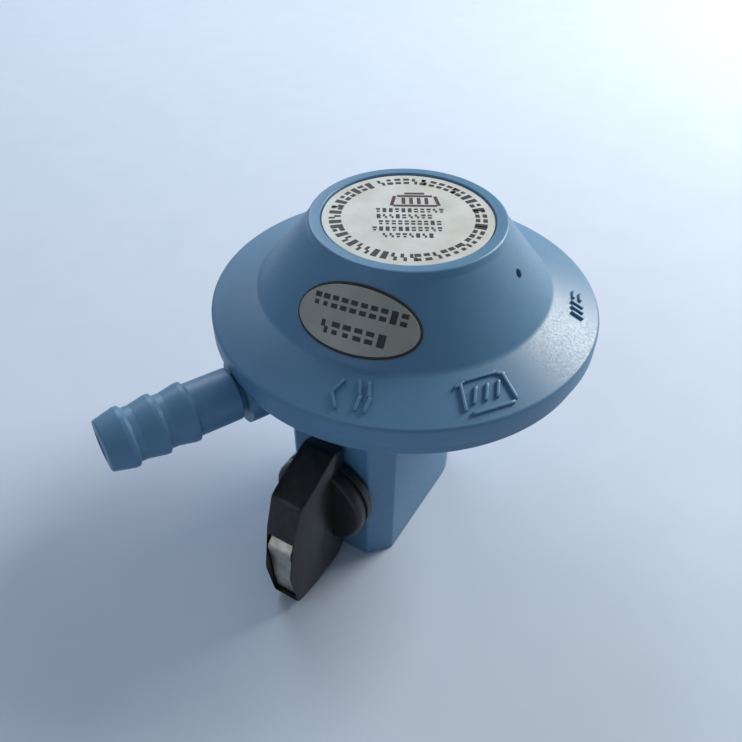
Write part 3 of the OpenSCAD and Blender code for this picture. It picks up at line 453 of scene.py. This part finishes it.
coneFace = {"foot": cover["foot"], "top": cover["top"], "share": vent["share"]}
drill = wrapped(peg(vent["radius"], -4, 2, 32), coneFace, vent["azimuth"])
flare = wrapped(peg(vent["radius"], -0.12, 0.3, 32, vent["radius"] + vent["flare"]), coneFace,
                vent["azimuth"])
shell = combined(shell, [drill, flare])
place("coverCasting", shell, "housing", "casting", ["top_cover"], smooth=28)
print("cover made")

# Generic raised marks on the brim
mark = {"line": 0.65, "height": 0.75, "sink": -0.15, "soft": 0.14}
brimFace = {"foot": (brimR, brimEdge), "top": cover["foot"], "share": 0.5}
plaque = [(0, 3.4, 7.2, 0), (-4.6, 0.4, 5.6, 78), (4.9, 0.2, 6, 96), (0.2, -3.2, 8.8, 0),
          (-4.2, 3, 2.4, 20), (4.1, 3, 2.2, -24), (-2.3, 0.1, 3.6, 62), (0.1, 0.1, 3.6, 62),
          (2.5, 0.1, 3.6, 62)]
chevrons = [(-2.6, 1.2, 3.6, 62), (-2.6, -1.6, 3.6, -62), (1.4, 1.9, 3.2, 104),
            (1.9, -1.2, 3.2, 84), (3.2, 1.9, 3.2, 104), (3.7, -1.2, 3.2, 84)]
tallies = [(-4.4, 0, 3, 74), (-2.6, 0, 3, 74), (-0.8, 0, 3, 74), (2.2, 0.8, 2.6, 0),
           (2.2, -0.8, 2.6, 0)]
brimMarks = {"brimPlaque": (plaque, 259), "brimChevrons": (chevrons, 219),
             "brimTallies": (tallies, 317)}
for name, (strokes, azimuth) in brimMarks.items():
    raised = bars(strokes, mark["line"], mark["height"], mark["sink"], mark["soft"])
    place(name, wrapped(raised, brimFace, azimuth), "housing", "casting")
print("brim marks made")


def greeked(count, pitch, tall, seed, wide=0.8):
    # a row of plain solid blocks where printing would be, never letters;
    # each is (x, y, length, width)
    draw = random.Random(seed)
    strokes = []
    for i in range(count):
        x = (i - (count - 1) / 2) * pitch
        cell = pitch * wide
        shape = draw.choice(("slab", "pair", "stack", "stair"))
        if shape == "slab":
            strokes.append((x, 0, cell * 0.8, tall))
        if shape == "pair":
            strokes += [(x, tall * 0.3, cell * 0.85, tall * 0.36),
                        (x, -tall * 0.3, cell * 0.85, tall * 0.36)]
        if shape == "stack":
            strokes += [(x, tall * 0.28, cell * 0.9, tall * 0.4),
                        (x, -tall * 0.3, cell * 0.6, tall * 0.34)]
        if shape == "stair":
            strokes += [(x - cell * 0.2, tall * 0.22, cell * 0.45, tall * 0.52),
                        (x + cell * 0.22, -tall * 0.24, cell * 0.42, tall * 0.5)]
    return strokes


def inked(marks, foot=0.0):
    # thin printed blocks lying flat
    bm = bmesh.new()
    thick = 0.03
    for x, y, wide, tall in marks:
        at = Matrix.Translation((x * mm, y * mm, (foot + thick / 2) * mm))
        scale = Matrix.Diagonal((wide * mm, tall * mm, thick * mm, 1))
        bmesh.ops.create_cube(bm, size=1, matrix=at @ scale)
    return bm


# Round label: a foil disc, a ring of printing, and a middle block
label = {"ringR": 14.9, "tall": 2.5, "pitch": 1.85, "up": 56.5, "lineTall": 1.6, "lineWide": 0.75,
         "emblemAt": (1.6, 6.4), "emblemLine": 0.75, "ink": 0.03}
labelTop = highOf("nameplate").z
discPath = rounded([(0, recessZ, 0), (labelR, recessZ, 0.05), (labelR, labelTop, 0.12),
                    (0, labelTop, 0)], closed=False)
place("labelDisc", spun(discPath, closed=False, steps=160), "housing", "label_foil",
      ["nameplate"])
# each group of marks is (count, azimuth)
groups = [(7, 200), (5, 238), (4, 268), (3, 293), (4, 318), (6, 350), (5, 27), (4, 55), (6, 86),
          (5, 117), (6, 150)]
ringPrint = []
for count, azimuth in groups:
    word = inked(greeked(count, label["pitch"], label["tall"], azimuth))
    for v in word.verts:
        angle = math.radians(azimuth - 90) + v.co.x / (label["ringR"] * mm)
        reach = label["ringR"] * mm - v.co.y
        v.co = Vector((reach * math.cos(angle), reach * math.sin(angle), v.co.z + labelTop * mm))
    ringPrint.append(word)
place("labelRingPrint", joined(*ringPrint), "housing", "label_foil", finish=blackInk)
upright = Matrix.Rotation(math.radians(label["up"] - 90), 4, "Z")
facing = Matrix.Translation((0, 0, labelTop * mm)) @ upright
# each line is (count, pitch, y, x)
lines = [(11, 1.3, 2.5, 0.4), (9, 1.3, 0.1, -0.8), (10, 1.3, -2.3, 0.3), (11, 1.3, -4.7, -0.3),
         (8, 1.3, -7.1, -0.2)]
middlePrint = []
for count, pitch, y, x in lines:
    marks = greeked(count, pitch, label["lineTall"], count + int(10 * y), label["lineWide"])
    spot = facing @ Matrix.Translation((x * mm, y * mm, 0))
    middlePrint.append(moved(inked(marks), spot))
place("labelMiddlePrint", joined(*middlePrint), "housing", "label_foil", finish=blackInk)
emblem = [(0, 2, 7.4, 0), (0, -2, 9, 0), (-4.6, 0, 3.9, 80), (4.6, 0, 3.9, 100),
          (-2.4, 0, 2.6, 90), (-0.8, 0, 2.6, 90), (0.8, 0, 2.6, 90), (2.4, 0, 2.6, 90),
          (0, 3.1, 4.2, 0)]
emblemX, emblemY = label["emblemAt"]
printed = moved(bars(emblem, label["emblemLine"], label["ink"]),
                facing @ Matrix.Translation((emblemX * mm, emblemY * mm, 0)))
place("labelEmblem", printed, "housing", "label_foil", finish=redInk)
print("label made")

# Oval badge on the cone: a dark rubber backing whose rim, showing round the plate, is also painted shadow under
# the badge's edge; a foil plate; two rows of printing
badge = {"long": 26, "tall": 13.6, "share": 0.5, "azimuth": 213.5, "backing": 0.26, "plate": 0.5,
         "rim": 0.55, "printTall": 2.5}
badgeFace = {"foot": cover["foot"], "top": cover["top"], "share": badge["share"]}


def oval(grow, low, high, edge):
    # a round disc drawn out to an oval, with rings enough to follow the cone
    reach = badge["long"] / 2 + grow
    rings = [k / 10 * (reach - edge * 2) for k in range(10)]
    rim = rounded([(reach - edge * 2, low, 0), (reach, low, 0.03), (reach, high, edge),
                   (reach - edge * 2, high, 0)], closed=False)
    path = [(r, low) for r in rings] + [tuple(p) for p in rim]
    path += [(r, high) for r in reversed(rings)]
    squash = (badge["tall"] / 2 + grow) / reach
    return moved(spun(path, closed=False, steps=96), Matrix.Diagonal((1, squash, 1, 1)))


# the backing is black rubber, and its dark rim round the plate is painted shadow: it stands in for the shade under
# the raised badge's edge
backing = wrapped(oval(0, 0.02, badge["backing"], 0.05), badgeFace, badge["azimuth"])
place("badgeBackingShadowRim", backing, "housing", "black_rubber")
plate = oval(-badge["rim"], badge["backing"], badge["plate"], 0.1)
place("badgePlate", wrapped(plate, badgeFace, badge["azimuth"]), "housing", "label_foil",
      ["badge"], finish=badgeFoil)
# each row is (count, pitch, y, x)
rows = [(10, 1.95, 2.3, 0.2), (6, 2.3, -2.5, 0.1)]
badgePrint = []
for count, pitch, y, x in rows:
    row = inked(greeked(count, pitch, badge["printTall"], 3 + count), badge["plate"])
    badgePrint.append(moved(row, Matrix.Translation((x * mm, y * mm, 0))))
printed = wrapped(joined(*badgePrint), badgeFace, badge["azimuth"])
place("badgePrint", printed, "housing", "label_foil", finish=blackInk)
print("badge made")

# Lower casting: bowl, neck, tail boss and coupling block
body = {"flangeR": 41, "flangeZ": 46.6, "bowlR": 33.2, "bowlZ": 44.2, "neckR": 18.5,
        "neckZ": (25.2, 38.5), "foot": 20.5, "floor": 41.5, "floorR": 17.5, "roomR": 30.4,
        "roomZ": 46.4, "beadR": 33.8, "half": 13.4, "end": 30.7, "cornerX": 26, "cornerY": 9.3,
        "blockTop": 44.9, "plateT": 2.4, "plateWall": 1.2, "socketR": 10.2, "socketDeep": 10,
        "forkHalf": 11.8, "forkX": (2.1, 23.3), "forkTop": 4.7, "slotX": (13.1, 20.5),
        "slotHalf": 2.1, "slotZ": (4, 16), "screwRing": 36.8, "screwHead": 3.25}
# bores as (radius, from, to) along their own axis
bores = {"bush": (8.45, 24.4, 40), "drum": (7.8, 11, 24.6), "well": (2.45, 8, 20),
         "tailBoss": (7, 14.6, body["flangeR"] + 0.2), "tailHole": (4.02, 33.4, 50),
         "tailBore": (2.5, 20, 34)}


def blockPlan(inset=0.0, soft=1.0):
    half = body["half"] - inset
    end = body["end"] - inset
    turns = [math.radians(90 + 180 * k / 96) for k in range(97)]
    arc = [Vector((half * math.cos(a), half * math.sin(a))) for a in turns]
    corners = rounded([(0, -half, 0), (body["cornerX"], -half, soft),
                       (end, -body["cornerY"], soft), (end, body["cornerY"], soft),
                       (body["cornerX"], half, soft), (0, half, 0)], closed=False)
    return arc + corners[1:-1]


bowl = spun(rounded([
    (0, body["foot"], 0), (body["half"] - 0.3, body["foot"], 0.3),
    (body["half"] - 0.1, body["foot"] + 0.7, 0.5), (body["neckR"], body["neckZ"][0], 2),
    (body["neckR"], body["neckZ"][1], 2.5), (body["bowlR"], body["bowlZ"], 1.2),
    (body["bowlR"], body["flangeZ"], 0.8), (body["flangeR"], body["flangeZ"], 0.5),
    (body["flangeR"], splitZ, 0.3), (body["beadR"], splitZ, 0.1),
    (body["beadR"], splitZ - 1, 0.1), (body["roomR"], splitZ - 1, 0.1),
    (body["roomR"], body["roomZ"], 0.5), (body["floorR"], body["floor"], 0.5),
    (0, body["floor"], 0)], closed=False), closed=False, steps=160)
stem = drawnUp(blockPlan(), 0, body["blockTop"])
softened(stem, 0.45, 3, 50)
moved(stem, towardKnob)
tailZ = (lowOf("hose_tail").z + highOf("hose_tail").z) / 2
tailAxis = along("-x", (0, 0, tailZ))
spindleAxis = along("x", (0, 0, spindleZ))
boss = moved(peg(*bores["tailBoss"], 72), tailAxis)
boss = combined(boss, [block((-60, -20, splitZ), (10, 20, 70))])
casting = combined(bowl, [stem, boss], "UNION")
seat = drawnUp(blockPlan(body["plateWall"]), -1, body["plateT"])
socket = peg(body["socketR"], 1, body["socketDeep"], 96)
pocket = block((body["forkX"][0], -body["forkHalf"], body["plateT"] - 0.2),
               (body["forkX"][1], body["forkHalf"], body["forkTop"]))
bushBore = moved(peg(*bores["bush"], 72), spindleAxis)
drumRoom = moved(peg(*bores["drum"], 64), spindleAxis)
slotUp = block((body["slotX"][0], -body["slotHalf"], body["slotZ"][0]),
               (body["slotX"][1], body["slotHalf"], body["slotZ"][1]))
well = peg(*bores["well"], 48)
tailHole = moved(peg(*bores["tailHole"], 64), tailAxis)
tailBore = moved(peg(*bores["tailBore"], 48), tailAxis)
turnedTools = [moved(tool, towardKnob) for tool in (seat, pocket, bushBore, drumRoom, slotUp)]
casting = combined(casting, turnedTools + [socket, well, tailHole, tailBore])
ringPlace = Matrix.Translation((body["screwRing"] * mm, 0, 0))
for i in range(6):
    hole = peg(body["screwHead"], body["flangeZ"] - 1, body["flangeZ"] + 1.4, 40)
    at = Matrix.Rotation(math.radians(60 * i + 30), 4, "Z") @ ringPlace
    casting = combined(casting, [moved(hole, at)])
place("lowerCasting", casting, "housing", "casting", ["lower_body"], smooth=30)
print("lower casting made")

# Base plate under the coupling block
basePlate = {"gap": 0.05, "edge": 0.25, "flare": 1.5, "screwAt": (26.6, 6.4), "holeR": 1.45,
             "sinkR": 2.5, "sinkDeep": 1.4}
base = drawnUp(blockPlan(body["plateWall"] + basePlate["gap"]), 0, body["plateT"])
softened(base, basePlate["edge"], 2, 50)
mouth = peg(body["socketR"], -1, 4, 96)
flare = peg(body["socketR"] + basePlate["flare"], -1, 0.5, 96, body["socketR"])
sinks = []
for side in (-1, 1):
    screwX, screwY = basePlate["screwAt"]
    spot = Matrix.Translation((screwX * mm, side * screwY * mm, 0))
    sinks.append(moved(peg(basePlate["holeR"], -1, 4, 32), spot))
    sinks.append(moved(peg(basePlate["sinkR"], -1, basePlate["sinkDeep"], 40), spot))
base = combined(base, [mouth, flare] + sinks)
place("basePlateCasting", moved(base, towardKnob), "housing", "casting", ["base_plate"], smooth=30)
print("base plate made")

# Cover screws: pan heads with a hexagon socket, seen from below
screw = {"headR": 3.1, "headH": 2, "shankR": 1.7, "key": 1.5, "keyDeep": 1.3}
headLow = lowOf("cover_screws").z
headTop = headLow + screw["headH"]
tip = highOf("cover_screws").z
one = spun(rounded([(0, headLow, 0), (screw["headR"], headLow, 0.7),
                    (screw["headR"], headTop, 0.15), (screw["shankR"], headTop, 0.1),
                    (screw["shankR"], tip, 0.3), (0, tip, 0)], closed=False),
           closed=False, steps=48)
one = combined(one, [peg(screw["key"], headLow - 1, headLow + screw["keyDeep"], 6)])
moved(one, Matrix.Rotation(math.radians(30), 4, "Z") @ ringPlace)
first = one.verts[:] + one.edges[:] + one.faces[:]
for i in range(1, 6):
    copy = bmesh.ops.duplicate(one, geom=first)["geom"]
    corners = [v for v in copy if isinstance(v, bmesh.types.BMVert)]
    bmesh.ops.rotate(one, cent=(0, 0, 0), matrix=Matrix.Rotation(math.radians(60 * i), 3, "Z"),
                     verts=corners)
place("coverScrewSet", one, "housing", "zinc_steel", ["cover_screws"])
print("cover screws made")

# Hose tail: cast barbs with softened crests, open at the tip
tail = {"root": 5.6, "neck": 4, "bore": 2.5, "shoulder": brimR + 0.4, "pitch": 6.2, "land": 0.9,
        "nose": 4.4, "groove": (1.6, 2.9), "grooveDeep": 0.8, "valley": 3.4}
barbR = (highOf("hose_tail").z - lowOf("hose_tail").z) / 2
reach = -lowOf("hose_tail").x
start = -highOf("hose_tail").x
firstBarb = reach - tail["nose"]
grooveR = tail["neck"] - tail["grooveDeep"]
grooveLow, grooveHigh = (start + x for x in tail["groove"])
outline = [(tail["bore"], start, 0.1), (tail["neck"], start, 0.2), (tail["neck"], grooveLow, 0.1),
           (grooveR, grooveLow, 0.1), (grooveR, grooveHigh, 0.1), (tail["neck"], grooveHigh, 0.1),
           (tail["neck"], tail["shoulder"], 0.2), (tail["root"], tail["shoulder"], 0.45)]
for i in (2, 1, 0):
    crest = firstBarb - i * tail["pitch"]
    rise = crest - tail["land"]
    outline += [(tail["root"], rise - 0.5, 0.35), (barbR, rise, 0.3), (barbR, crest, 0.35)]
    if i:
        outline += [(tail["root"], crest + tail["valley"], 1.2)]
outline += [(tail["root"] - 0.35, reach - 0.2, 0.5), (tail["bore"] + 0.5, reach, 0.3),
            (tail["bore"], reach - 0.7, 0.3)]
hose = moved(spun(rounded(outline), steps=120), tailAxis)
place("hoseTailCasting", hose, "housing", "casting", ["hose_tail"], smooth=50)
print("hose tail made")

# Knob: round hub and a tall fin with eased cheeks, hollowed for the catch
knob = {"hubR": 11, "hub": (31.3, 36.7), "groove": (33.4, 34.2), "grooveDeep": 0.7,
        "finUp": 16.4, "finDown": 18.8, "half": 4, "reach": 52.4, "wideZ": -7, "edge": 0.7,
        "crease": ((45.4, 9.6), (44.2, -16.7)), "lean": 0.09, "square": 2.82,
        "springWay": (2.3, 37.7, 44), "springZ": -12, "setHoleR": 1.02, "setHoleX": 4.1,
        "dish": (9.4, 31.2, 34.1), "dishPost": (5.56, 31, 35)}
hubLow, hubHigh = knob["hub"]
finPath = rounded([(hubLow, knob["finUp"] - 1.4, 0.8), (hubLow + 3.4, knob["finUp"], 2.4),
                   (knob["reach"] - 5.2, knob["finUp"] - 5, 1.8),
                   (knob["reach"] - 2.4, knob["finUp"] - 12, 8),
                   (knob["reach"], knob["wideZ"], 6), (knob["reach"] - 2, -knob["finDown"], 1.4),
                   (hubLow + 3.4, -knob["finDown"], 2.4), (hubLow, 3 - knob["finDown"], 0.8)])
fin = drawnUp(finPath, -knob["half"], knob["half"])
softened(fin, knob["edge"], 2, 60)
moved(fin, Matrix.Rotation(math.pi / 2, 4, "X"))
creaseTop, creaseFoot = (Vector((x, 0, z)) for x, z in knob["crease"])
creaseOut = (creaseTop - creaseFoot).cross(Vector((0, 1, 0))).normalized()
creaseOut = creaseOut if creaseOut.x > 0 else -creaseOut
bmesh.ops.bisect_plane(fin, geom=fin.verts[:] + fin.edges[:] + fin.faces[:],
                       plane_co=creaseTop * mm, plane_no=creaseOut, dist=0.001 * mm)
for v in fin.verts:
    past = (v.co / mm - creaseTop).dot(creaseOut)
    if past > 0:
        v.co.y *= 1 - past * knob["lean"] / knob["half"]
hubR = knob["hubR"]
grooveR = hubR - knob["grooveDeep"]
grooveLow, grooveHigh = knob["groove"]
hubPath = rounded([(0, hubLow, 0), (hubR, hubLow, 0.5), (hubR, grooveLow, 0.3),
                   (grooveR, grooveLow, 0.2), (grooveR, grooveHigh, 0.2), (hubR, grooveHigh, 0.3),
                   (hubR, hubHigh, 1), (0, hubHigh, 0)], closed=False)
hub = moved(spun(hubPath, closed=False, steps=96), along("x"))
grip = combined(fin, [hub], "UNION")
catchSize = {"z": (-17.8, 2.6), "half": 2.9, "back": 44, "face": 50.5}
catchLow, catchHigh = catchSize["z"]
room = block((42.1, -catchSize["half"] - 0.25, catchLow - 0.3),
             (60, catchSize["half"] + 0.25, catchHigh + 0.3))
softened(room, 0.8, 3, 35, lambda e: abs(e.verts[0].co.y - e.verts[1].co.y) > mm)
square = block((20, -knob["square"], -knob["square"]), (39.9, knob["square"], knob["square"]))
tongueWay = block((31.2, -1.25, -8.55), (44, 1.25, -6.05))
springWay = moved(peg(*knob["springWay"], 40), along("x", (0, 0, knob["springZ"])))
setHole = moved(peg(knob["setHoleR"], 0, 20, 32), Matrix.Rotation(math.pi / 2, 4, "X"))
moved(setHole, Matrix.Translation(((hubLow + knob["setHoleX"]) * mm, 0, 0)))
dish = combined(peg(*knob["dish"], 72), [peg(*knob["dishPost"], 64)])
grip = combined(grip, [room, square, tongueWay, springWay, setHole, moved(dish, along("x"))])
place("knobMoulding", moved(grip, onSpindle), "knob_group", "black_plastic", ["knob"], smooth=30)
print("knob made")

# Catch: nickel-plated block between the cheeks of the fin, with a tongue behind it
catchPath = rounded([(catchSize["back"], catchLow, 0.2), (catchSize["face"] - 1, catchLow, 1.1),
                     (catchSize["face"] - 0.2, -12, 4), (catchSize["face"], -6, 6),
                     (catchSize["face"] + 0.6, catchHigh - 3, 1.4),
                     (catchSize["face"] - 2.2, catchHigh, 1.6),
                     (catchSize["back"], catchHigh, 0.2)])
head = drawnUp(catchPath, -catchSize["half"], catchSize["half"])
softened(head, 0.8, 4, 60)
moved(head, Matrix.Rotation(math.pi / 2, 4, "X"))
tongue = block((32.9, -1, -8.3), (catchSize["back"] + 0.5, 1, -6.3))
head = combined(head, [tongue], "UNION")
place("catchBlock", moved(head, onSpindle), "catch", "nickel_plate", ["catch_button"])
print("catch made")

# Floor, light and camera
floorSize = {"half": 1.2, "colour": "#c3d0e0", "shade": "#bccadb", "grain": 60.0, "rough": 0.85}
ground = bmesh.new()
bmesh.ops.create_grid(ground, x_segments=1, y_segments=1, size=floorSize["half"])
floorMesh = bpy.data.meshes.new("floor")
ground.to_mesh(floorMesh)
ground.free()
floor = bpy.data.objects.new("floor", floorMesh)
bpy.context.collection.objects.link(floor)
material, tree, coords = startMaterial("pale studio floor")
inputs = {"Vector": coords, "Scale": floorSize["grain"], "Detail": 2.0}
paper = addNode(tree, "ShaderNodeTexNoise", inputs).outputs["Fac"]
tone = mixed(tree, paper, paint(floorSize["shade"]), paint(floorSize["colour"]))
floorMesh.materials.append(endMaterial(material, tree, {
    "Base Color": tone, "Roughness": floorSize["rough"]}))

world = bpy.data.worlds.new("studio")
world.use_nodes = True
world.node_tree.nodes["Background"].inputs["Color"].default_value = paint("#dde6f0")
world.node_tree.nodes["Background"].inputs["Strength"].default_value = 0.26
bpy.context.scene.world = world

lamps = {
    "keyRightBack": {"at": (0.72, 0.02, 0.48), "size": 0.42, "power": 8.5, "colour": "#fffaf2"},
    "topBack": {"at": (0.1, 0.62, 0.5), "size": 0.5, "power": 2.6, "colour": "#eaf2ff"},
    "fillLeft": {"at": (-0.6, -0.1, 0.35), "size": 0.6, "power": 0.6, "colour": "#dfeaff"},
}
for name, lamp in lamps.items():
    light = bpy.data.lights.new(name, "AREA")
    light.shape = "DISK"
    light.size = lamp["size"]
    light.energy = lamp["power"]
    light.color = paint(lamp["colour"])[:3]
    holder = bpy.data.objects.new(name, light)
    bpy.context.collection.objects.link(holder)
    aim = (Vector((0, 0, 0.04)) - Vector(lamp["at"])).to_track_quat("-Z", "Y")
    holder.matrix_world = Matrix.Translation(lamp["at"]) @ aim.to_matrix().to_4x4()

shot = {"at": (-79.05, -106.42, 150.52), "heading": -33.5, "pitch": 47.8, "roll": 0.67,
        "lens": 35.9}
camera = bpy.data.cameras.new("camera")
camera.lens = shot["lens"]
camera.sensor_width = 36
camera.clip_start = 0.005
viewer = bpy.data.objects.new("camera", camera)
bpy.context.collection.objects.link(viewer)
viewer.matrix_world = (Matrix.Translation(Vector(shot["at"]) * mm)
                       @ Matrix.Rotation(math.radians(shot["heading"]), 4, "Z")
                       @ Matrix.Rotation(math.radians(shot["pitch"]), 4, "X")
                       @ Matrix.Rotation(math.radians(shot["roll"]), 4, "Z"))
bpy.context.scene.camera = viewer
bpy.context.scene.view_settings.view_transform = "Standard"
print("stage set")
